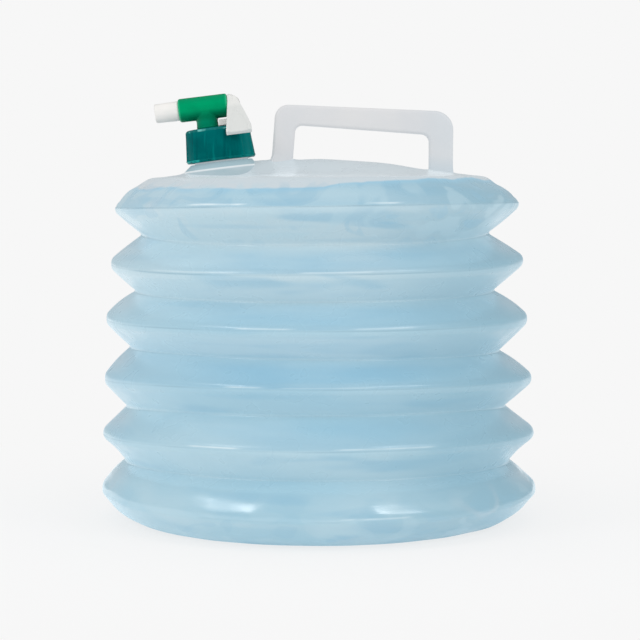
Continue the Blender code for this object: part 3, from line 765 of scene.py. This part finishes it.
class Paint:
    """A material's node tree, with short ways to add its nodes."""

    def __init__(self, name):
        self.material = bpy.data.materials.new(name)
        self.material.use_nodes = True
        self.tree = self.material.node_tree
        self.shader = self.tree.nodes["Principled BSDF"]

    def node(self, kind, **inputs):
        made = self.tree.nodes.new(kind)
        for key, value in inputs.items():
            self.feed(made.inputs[key.replace("_", " ")], value)
        return made

    def feed(self, socket, value):
        if isinstance(value, bpy.types.NodeSocket):
            self.tree.links.new(value, socket)
        else:
            socket.default_value = value

    def place(self, scale):
        """Object coordinates in metres, scaled along each axis."""
        where = self.node("ShaderNodeTexCoord").outputs["Object"]
        mapping = self.node("ShaderNodeMapping", Vector=where, Scale=scale)
        return mapping.outputs["Vector"]

    def noise(self, scale, detail=3.0, roughness=0.5, distortion=0.0, along=(1, 1, 1)):
        """Noise in the object's own space. along multiplies its scale on each axis."""
        made = self.node("ShaderNodeTexNoise", Vector=self.place(along), Scale=scale, Detail=detail)
        made.inputs["Roughness"].default_value = roughness
        made.inputs["Distortion"].default_value = distortion
        return made.outputs["Fac"]

    def math(self, operation, a, b=0.0):
        made = self.tree.nodes.new("ShaderNodeMath")
        made.operation = operation
        self.feed(made.inputs[0], a)
        self.feed(made.inputs[1], b)
        return made.outputs[0]

    def times(self, a, b):
        return self.math("MULTIPLY", a, b)

    def ranged(self, value, low, high, new_low=0.0, new_high=1.0):
        """Carries low to new_low and high to new_high, with an eased course between."""
        made = self.tree.nodes.new("ShaderNodeMapRange")
        made.interpolation_type = "SMOOTHSTEP"
        keys = ("Value", "From Min", "From Max", "To Min", "To Max")
        for key, item in zip(keys, (value, low, high, new_low, new_high)):
            self.feed(made.inputs[key], item)
        return made.outputs["Result"]

    def mix(self, share, a, b, blend="MIX"):
        made = self.tree.nodes.new("ShaderNodeMix")
        made.data_type = "RGBA"
        made.blend_type = blend
        self.feed(made.inputs[MIX_SHARE], share)
        self.feed(made.inputs[MIX_A], a)
        self.feed(made.inputs[MIX_B], b)
        return made.outputs[MIX_RESULT]

    def attribute(self, name):
        made = self.tree.nodes.new("ShaderNodeAttribute")
        made.attribute_name = name
        return made.outputs["Fac"]

    def axis(self, index):
        """The place along one axis, in metres."""
        return self.node("ShaderNodeSeparateXYZ", Vector=self.place((1, 1, 1))).outputs[index]

    def bump(self, height, distance, strength=1.0, normal=None):
        made = self.node("ShaderNodeBump", Height=height, Distance=distance, Strength=strength)
        if normal is not None:
            self.feed(made.inputs["Normal"], normal)
        return made.outputs["Normal"]

    def set(self, **inputs):
        for key, value in inputs.items():
            self.feed(self.shader.inputs[key.replace("_", " ")], value)
        return self.material


def dress(material, *pieces):
    for piece in pieces:
        piece.data.materials.clear()
        piece.data.materials.append(material)


WATER = linear((163, 200, 216))
WATER_PALE = linear((180, 209, 221))
WATER_DEEP = linear((142, 187, 210))
WATER_LIT = linear((189, 214, 225))
WATER_TOP = linear((188, 210, 219))
WATER_EDGE = linear((152, 199, 223))
FILM_GREY = linear((200, 211, 217))
FILM_PALE = linear((202, 211, 217))
CREST_DARK = linear((140, 177, 194))
CREST_GLINT = linear((235, 247, 251))
SHADED_SIDE = linear((140, 179, 196))
CLEAR_PALE = linear((220, 220, 221))
CLEAR_GREY = linear((213, 215, 218))
DOME_HAZE = linear((198, 210, 217))
HANDLE_BLUE = linear((198, 210, 218))
BOSS_SKIRT_SHADE = linear((166, 190, 198))
BOSS_CAP_SHADOW = linear((160, 188, 198))
BOSS_LEDGE_HIGHLIGHT = linear((226, 233, 236))
TEAL_LIGHT = linear((4, 124, 120))
TEAL_DARK = linear((0, 72, 76))
TEAL_RIM_GLINT = linear((40, 166, 160))
TEAL_EDGE_GLINT = linear((120, 196, 190))
TEAL_LIT_RIGHT = linear((0, 120, 118))
GREEN_TOP = linear((0, 128, 88))
GREEN_UNDER_SHADE = linear((0, 108, 76))
GREEN_STEM_SHADE = linear((0, 132, 98))
GREEN_END_HIGHLIGHT = linear((70, 196, 150))
LEVER_SHADE = linear((211, 213, 211))

# The share of a film's colour that is a painted glow: emission that stands in for light passed through the
# film and its filling
GLOW = 0.48


def film_paint(name):
    """Soft film with water behind it: broad clouds, level streaks, the folds' bands of painted shade and
    painted light, painted light towards the left and painted shade towards the right.
    """
    paint = Paint(name)
    x, z = paint.axis(0), paint.axis(2)
    colour = paint.mix(paint.ranged(z, 0.115, 0.160), WATER, WATER_TOP)
    clouds = paint.noise(11.0, 2.0, 0.5, 0.4, along=(1, 1, 3.2))
    colour = paint.mix(paint.ranged(clouds, 0.42, 0.66, 0.0, 0.75), colour, WATER_PALE)
    patches = paint.noise(14.0, 2.0, 0.5, 0.2, along=(0.8, 0.8, 5.0))
    # Painted light: the pale band where a fold faces down
    colour = paint.mix(paint.attribute("pale"), colour, WATER_LIT)
    # Painted shade: the deep band where a fold faces up, weaker at the left, with random deeper patches
    deep = paint.times(paint.attribute("deep"), paint.ranged(patches, 0.3, 0.6, 0.5, 1.0))
    deep = paint.times(deep, paint.ranged(x, -0.085, -0.03, 0.35, 1.0))
    deep = paint.math("MAXIMUM", deep, paint.ranged(patches, 0.54, 0.68, 0.0, 0.55))
    colour = paint.mix(deep, colour, WATER_DEEP)
    streaks = paint.noise(10.0, 1.5, along=(1, 1, 14.0))
    colour = paint.mix(paint.ranged(streaks, 0.55, 0.75, 0.0, 0.4), colour, WATER_PALE)
    colour = paint.mix(paint.ranged(streaks, 0.42, 0.26, 0.0, 0.3), colour, WATER_DEEP)
    # Painted light: paler towards the left, where the light is stronger
    colour = paint.mix(paint.ranged(x, -0.13, 0.0, 0.35, 0.0), colour, WATER_PALE)
    middle = paint.math("ABSOLUTE", paint.math("SUBTRACT", z, 0.098))
    colour = paint.mix(paint.ranged(middle, 0.0, 0.04, 0.3, 0.0), colour, WATER_DEEP)
    # Painted shade: darker towards the right
    shade = paint.ranged(x, 0.0, 0.12, 0.0, 0.85)
    return paint, paint.mix(shade, colour, SHADED_SIDE)


def crumples(paint, colour):
    """The crumples of the top fold and the base: painted light and painted shade on their facets, and soft
    pale crease lines.
    """
    z = paint.axis(2)
    where = paint.math("MAXIMUM", paint.ranged(z, 0.160, 0.178), paint.ranged(z, 0.036, 0.014, 0.0, 0.7))
    where = paint.times(where, paint.ranged(z, 0.204, 0.198))
    facets = paint.noise(30.0, 1.5, 0.5, 1.2, along=(1, 1, 1.5))
    # Painted light and painted shade on the crumples' facets
    pale = paint.times(paint.ranged(facets, 0.52, 0.60, 0.0, 0.45), where)
    deep = paint.times(paint.ranged(facets, 0.45, 0.41, 0.0, 0.3), where)
    colour = paint.mix(deep, paint.mix(pale, colour, WATER_PALE), WATER_DEEP)
    field = paint.noise(24.0, 0.0, along=(1, 1, 1.6))
    line = paint.ranged(paint.math("ABSOLUTE", paint.math("SUBTRACT", field, 0.5)), 0.0, 0.06, 1.0, 0.0)
    somewhere = paint.ranged(paint.noise(15.0, 0.0), 0.5, 0.62)
    crease = paint.times(paint.times(line, somewhere), where)
    return paint.mix(paint.times(crease, 0.3), colour, FILM_PALE), crease


def glowing(paint, colour, **others):
    """Splits a film's colour between its own surface and a painted glow, emission that stands in for the
    light that its filling passes on.
    """
    dimmed = paint.mix(1.0, colour, (1 - GLOW, 1 - GLOW, 1 - GLOW, 1), "MULTIPLY")
    return paint.set(Base_Color=dimmed, Emission_Color=colour, Emission_Strength=GLOW, **others)


def finish_film(paint, colour, dent=0.0014):
    """Gives a film its crest lines, painted glints beside them, painted light at its sides, creases, soft
    gloss and painted glow. dent is how deep its dents are.
    """
    z = paint.axis(2)
    colour, crease = crumples(paint, colour)
    broken = paint.noise(17.0, 1.0, along=(1, 1, 0.3))
    crest = paint.times(paint.attribute("crest"), paint.ranged(broken, 0.4, 0.62, 0.25, 0.9))
    # Painted light: the pale band at the sides
    colour = paint.mix(paint.times(paint.attribute("side_pale_light"), 0.35), colour, FILM_PALE)
    colour = paint.mix(crest, colour, CREST_DARK)
    # Painted highlight: glints just above the crests, broken into stretches
    glint_breaks = paint.noise(60.0, 1.0, along=(1, 1, 0.3))
    shine = paint.times(paint.attribute("shine"), paint.ranged(glint_breaks, 0.3, 0.6, 0.45, 0.8))
    colour = paint.mix(shine, colour, CREST_GLINT)
    smudge = paint.noise(60.0, 2.0)
    dents = paint.noise(34.0, 1.0, along=(1, 1, 1.6))
    fine = paint.noise(90.0, 1.0, along=(1, 1, 2.0))
    normal = paint.bump(dents, dent, 0.5)
    normal = paint.bump(crease, 0.0005, 0.5, normal)
    normal = paint.bump(fine, 0.00006, 0.5, normal)
    wet = paint.ranged(z, 0.036, 0.030, 0.0, 0.11)
    gloss = paint.ranged(smudge, 0.3, 0.7, 0.25, 0.38)
    return glowing(
        paint,
        colour,
        Roughness=paint.math("SUBTRACT", gloss, wet),
        Normal=normal,
        Specular_IOR_Level=0.6,
        Sheen_Weight=0.25,
        Sheen_Roughness=0.4,
    )


def folds_material(name):
    """Film of the folds and the base, all of it below the waterline."""
    return finish_film(*film_paint(name))


def dome_material():
    """Water tint below an uneven waterline, clear pale film above it."""
    paint, colour = film_paint("dome film")
    x, z = paint.axis(0), paint.axis(2)
    ripple = paint.noise(30.0, 3.0, along=(1, 1, 0.2))
    slope = paint.ranged(x, -0.012, 0.055, 0.1988, 0.2040)
    level = paint.math("ADD", slope, paint.ranged(ripple, 0.3, 0.7, -0.0011, 0.0011))
    depth = paint.math("SUBTRACT", level, z)
    band = paint.ranged(depth, 0.0, 0.0035, 1.0, 0.0)
    colour = paint.mix(paint.times(band, 0.6), colour, WATER_EDGE)
    haze = paint.noise(16.0, 3.0, along=(1, 1, 2))
    clear = paint.mix(paint.ranged(haze, 0.35, 0.7), FILM_GREY, DOME_HAZE)
    colour = paint.mix(paint.ranged(depth, -0.0006, 0.0006), clear, colour)
    return finish_film(paint, colour, 0.0005)


def clear_paint(name):
    """Clear film without water behind it."""
    paint = Paint(name)
    haze = paint.noise(22.0, 3.0, 0.5, 0.3)
    return paint, paint.mix(paint.ranged(haze, 0.35, 0.68), CLEAR_PALE, CLEAR_GREY)


def finish_clear(paint, colour):
    """Gives clear film its slight dents, soft gloss and painted glow."""
    normal = paint.bump(paint.noise(90.0, 2.0), 0.0005, 0.4)
    normal = paint.bump(paint.noise(260.0, 1.0), 0.00004, 0.5, normal)
    smudge = paint.noise(60.0, 4.0)
    return glowing(
        paint,
        colour,
        Roughness=paint.ranged(smudge, 0.3, 0.7, 0.30, 0.44),
        Normal=normal,
        Specular_IOR_Level=0.35,
    )


def handle_material():
    """The handle's film, with painted light that takes a little blue from the water at its feet, and painted
    shade on its right post.
    """
    paint, colour = clear_paint("handle film")
    x, z = paint.axis(0), paint.axis(2)
    # Painted light: a little blue from the water near the feet
    low = paint.times(paint.ranged(z, 0.226, 0.206), paint.ranged(x, -0.03, 0.08, 0.45, 0.9))
    # Painted shade: the right post a little darker and bluer
    low = paint.math("MAXIMUM", low, paint.ranged(x, 0.055, 0.08, 0.0, 0.35))
    return finish_clear(paint, paint.mix(low, colour, HANDLE_BLUE))


def neck_material():
    """The neck's film: a painted highlight along the boss's ledge, painted shade on the skirt below it, and
    the cap's painted shadow on the slope above it.
    """
    paint, colour = clear_paint("neck film")
    streaks = paint.noise(30.0, 3.0, along=(1, 1, 5))
    colour = paint.mix(paint.ranged(streaks, 0.4, 0.6, 0.5, 0.9), colour, DOME_HAZE)
    # Painted shade on the skirt, the cap's painted shadow on the slope and a painted highlight along the
    # ledge
    skirt = paint.times(paint.attribute("skirt"), paint.ranged(streaks, 0.35, 0.6, 0.95, 0.6))
    colour = paint.mix(skirt, colour, BOSS_SKIRT_SHADE)
    colour = paint.mix(paint.times(paint.attribute("slope"), 0.9), colour, BOSS_CAP_SHADOW)
    return finish_clear(paint, paint.mix(paint.attribute("ledge"), colour, BOSS_LEDGE_HIGHLIGHT))


def hard_paint(name, colour, second):
    """Moulded plastic: two close colours in soft clouds."""
    paint = Paint(name)
    clouds = paint.noise(70.0, 2.0, 0.5, 0.3)
    return paint, paint.mix(paint.ranged(clouds, 0.35, 0.68), linear(colour), linear(second))


def finish_hard(paint, colour, rough, ior, tint=(1, 1, 1)):
    """A fine grain and small scuffs in the gloss. tint is the colour of the plastic's reflections."""
    scuffs = paint.noise(200.0, 3.0, 0.6, along=(1, 1, 3))
    grain = paint.bump(paint.noise(500.0, 1.0), 0.00002, 0.4)
    return paint.set(
        Base_Color=colour,
        IOR=ior,
        Specular_Tint=(*tint, 1),
        Roughness=paint.ranged(scuffs, 0.3, 0.7, rough - 0.04, rough + 0.08),
        Normal=paint.bump(paint.noise(70.0, 2.0), 0.0004, 0.3, grain),
    )


def cap_material():
    """Teal, slightly clear plastic: vertical streaks, painted glints along the rim and the top edge, and
    painted light on its right side.
    """
    paint, colour = hard_paint("teal cap", (0, 88, 89), (0, 103, 102))
    streaks = paint.noise(260.0, 2.0, along=(1, 1, 0.12))
    colour = paint.mix(paint.ranged(streaks, 0.55, 0.66, 0.0, 0.5), colour, TEAL_LIGHT)
    colour = paint.mix(paint.ranged(streaks, 0.45, 0.34, 0.0, 0.5), colour, TEAL_DARK)
    # Painted glints along the rim and the top edge
    caught = paint.noise(150.0, 1.0)
    rim = paint.times(paint.attribute("rim"), paint.ranged(caught, 0.45, 0.62, 0.1, 0.9))
    colour = paint.mix(rim, colour, TEAL_RIM_GLINT)
    edge = paint.times(paint.attribute("edge"), paint.ranged(caught, 0.52, 0.64, 0.05, 0.8))
    colour = paint.mix(edge, colour, TEAL_EDGE_GLINT)
    # Painted light: lighter towards the right
    right = paint.ranged(paint.axis(0), -0.052, -0.040, 0.0, 0.7)
    colour = paint.mix(right, colour, TEAL_LIT_RIGHT)
    return finish_hard(paint, colour, 0.16, 1.12, (0.05, 0.7, 0.7))


def tap_material():
    """Green plastic, a little darker along the barrel's top, and darker still under it and down the stem as
    painted shade, with painted highlights on the barrel's end rims.
    """
    paint, colour = hard_paint("green tap", (0, 142, 94), (0, 151, 100))
    up = paint.attribute("up")
    colour = paint.mix(paint.ranged(up, 2.0, 6.0, 0.0, 0.5), colour, GREEN_TOP)
    # Painted shade under the barrel and down the stem
    colour = paint.mix(paint.ranged(up, -0.5, -5.5, 0.0, 0.8), colour, GREEN_UNDER_SHADE)
    colour = paint.mix(paint.ranged(up, -6.0, -8.5, 0.0, 0.9), colour, GREEN_STEM_SHADE)
    # Painted highlights on the end rims
    colour = paint.mix(paint.times(paint.attribute("end"), 0.5), colour, GREEN_END_HIGHLIGHT)
    return finish_hard(paint, colour, 0.2, 1.25, (0.1, 0.9, 0.6))


def plug_material():
    """White plastic, with painted shade on the hub and the lever, which are thin and let light through."""
    paint, colour = hard_paint("white plug", (233, 231, 228), (226, 226, 223))
    return finish_hard(paint, paint.mix(paint.attribute("lever"), colour, LEVER_SHADE), 0.34, 1.4)


def rubber_material(name, colour):
    """Matt rubber with fine specks and a little dust."""
    paint = Paint(name)
    specks = paint.noise(900.0, 3.0)
    dust = paint.noise(120.0, 3.0)
    darker = [level * 0.86 for level in colour]
    return paint.set(
        Base_Color=paint.mix(paint.ranged(dust, 0.35, 0.7), linear(colour), linear(darker)),
        Roughness=paint.ranged(dust, 0.3, 0.7, 0.55, 0.75),
        Normal=paint.bump(specks, 0.00004, 0.6),
    )


# Stage


BACKGROUND = linear((247, 247, 247))
WHITE = (1, 1, 1, 1)
WORLD_LEFT, WORLD_RIGHT = 0.97, 0.90
WORLD_IN_GLOSS = 0.12
FLOOR_RADIUS = 30.0
FLOOR_DROP = 0.0002
LAMP_DISTANCE = 1.4
LAMP_TARGET = Vector((0, 0, 0.1))

# The photo's view, in pixels: the focal length, and the picture's width
FOCAL_PIXELS, PHOTO_PIXELS = 1930, 640
SENSOR_WIDTH = 36
CAMERA_PLACE = (0.0012, -1.17, 0.1957)
CAMERA_DOWN = 3.765


def make_floor():
    """A pale floor that shows the background's colour and keeps a soft shadow near the object."""
    shape = bmesh.new()
    bmesh.ops.create_circle(shape, cap_ends=True, segments=96, radius=FLOOR_RADIUS)
    floor = new_object("floor", shape)
    floor.location.z = -FLOOR_DROP
    paint = Paint("floor")
    tree = paint.tree
    paint.set(Base_Color=linear((244, 244, 244)), Roughness=1.0, Specular_IOR_Level=0.0)
    seen = tree.nodes.new("ShaderNodeLightPath")
    rays = paint.math("MAXIMUM", seen.outputs["Is Camera Ray"], seen.outputs["Is Transmission Ray"])
    where = paint.node("ShaderNodeTexCoord").outputs["Object"]
    away = paint.node("ShaderNodeVectorMath", Vector=where)
    away.operation = "LENGTH"
    near = paint.ranged(away.outputs["Value"], 0.13, 0.40, 0.8, 1.0)
    glow = paint.node("ShaderNodeEmission", Color=BACKGROUND, Strength=1.0)
    mixed = tree.nodes.new("ShaderNodeMixShader")
    paint.feed(mixed.inputs[0], paint.times(rays, near))
    paint.feed(mixed.inputs[1], paint.shader.outputs[0])
    paint.feed(mixed.inputs[2], glow.outputs[0])
    paint.feed(tree.nodes["Material Output"].inputs["Surface"], mixed.outputs[0])
    dress(paint.material, floor)


def make_world():
    """Even white light, a little stronger from the left, behind a plain pale background."""
    world = bpy.data.worlds.new("studio")
    world.use_nodes = True
    SCENE.world = world
    tree = world.node_tree
    light = tree.nodes["Background"]
    light.inputs["Color"].default_value = WHITE
    direction = tree.nodes.new("ShaderNodeTexCoord")
    split = tree.nodes.new("ShaderNodeSeparateXYZ")
    tree.links.new(direction.outputs["Generated"], split.inputs[0])
    strength = tree.nodes.new("ShaderNodeMapRange")
    values = (-1.0, 1.0, WORLD_LEFT, WORLD_RIGHT)
    for key, value in zip(("From Min", "From Max", "To Min", "To Max"), values):
        strength.inputs[key].default_value = value
    tree.links.new(split.outputs[0], strength.inputs["Value"])
    tree.links.new(strength.outputs["Result"], light.inputs["Strength"])
    dark = tree.nodes.new("ShaderNodeBackground")
    dark.inputs["Color"].default_value = WHITE
    dark.inputs["Strength"].default_value = WORLD_IN_GLOSS
    shown = tree.nodes.new("ShaderNodeBackground")
    shown.inputs["Color"].default_value = BACKGROUND
    seen = tree.nodes.new("ShaderNodeLightPath")
    result = light.outputs[0]
    for ray, shade in (("Is Glossy Ray", dark), ("Is Transmission Ray", shown), ("Is Camera Ray", shown)):
        mixed = tree.nodes.new("ShaderNodeMixShader")
        tree.links.new(seen.outputs[ray], mixed.inputs[0])
        tree.links.new(result, mixed.inputs[1])
        tree.links.new(shade.outputs[0], mixed.inputs[2])
        result = mixed.outputs[0]
    tree.links.new(result, tree.nodes["World Output"].inputs["Surface"])


def make_lamp(name, azimuth, elevation, size, power):
    """A soft box aimed at the container's middle. Azimuth 0 is the camera's side, 90 the right."""
    a, e = math.radians(azimuth), math.radians(elevation)
    direction = Vector((math.sin(a) * math.cos(e), -math.cos(a) * math.cos(e), math.sin(e)))
    data = bpy.data.lights.new(name, "AREA")
    data.shape = "RECTANGLE"
    data.size, data.size_y = size
    data.energy = power
    lamp = bpy.data.objects.new(name, data)
    SCENE.collection.objects.link(lamp)
    lamp.location = LAMP_TARGET + direction * LAMP_DISTANCE
    lamp.rotation_euler = (-direction).to_track_quat("-Z", "Y").to_euler()


def make_camera():
    """The photo's view, from in front and a little above."""
    data = bpy.data.cameras.new("camera")
    data.sensor_width = SENSOR_WIDTH
    data.lens = FOCAL_PIXELS / PHOTO_PIXELS * SENSOR_WIDTH
    camera = bpy.data.objects.new("camera", data)
    SCENE.collection.objects.link(camera)
    camera.location = CAMERA_PLACE
    camera.rotation_euler = (math.radians(90 - CAMERA_DOWN), 0, 0)
    SCENE.camera = camera


def main():
    base, bellows, top = make_container()
    neck, neck_ridge = make_neck()
    handle = make_handle()
    cap, cap_ridge = make_cap()
    tap = make_tap()
    plug = make_plug()
    dress(folds_material("base film"), base)
    dress(folds_material("bellows film"), bellows)
    dress(dome_material(), top)
    dress(neck_material(), neck, neck_ridge)
    dress(handle_material(), handle)
    dress(cap_material(), cap, cap_ridge)
    dress(tap_material(), tap)
    dress(plug_material(), plug)
    dress(rubber_material("gasket rubber", (206, 206, 202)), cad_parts["cap_gasket"])
    dress(rubber_material("washer rubber", (40, 40, 40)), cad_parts["stem_washer"])
    make_floor()
    make_world()
    make_lamp("softbox_left", azimuth=-48.5, elevation=32.5, size=(0.52, 0.20), power=2.5)
    make_lamp("softbox_right", azimuth=47, elevation=33.5, size=(0.58, 0.20), power=2.8)
    make_camera()
    SCENE.view_settings.view_transform = "Standard"


main()
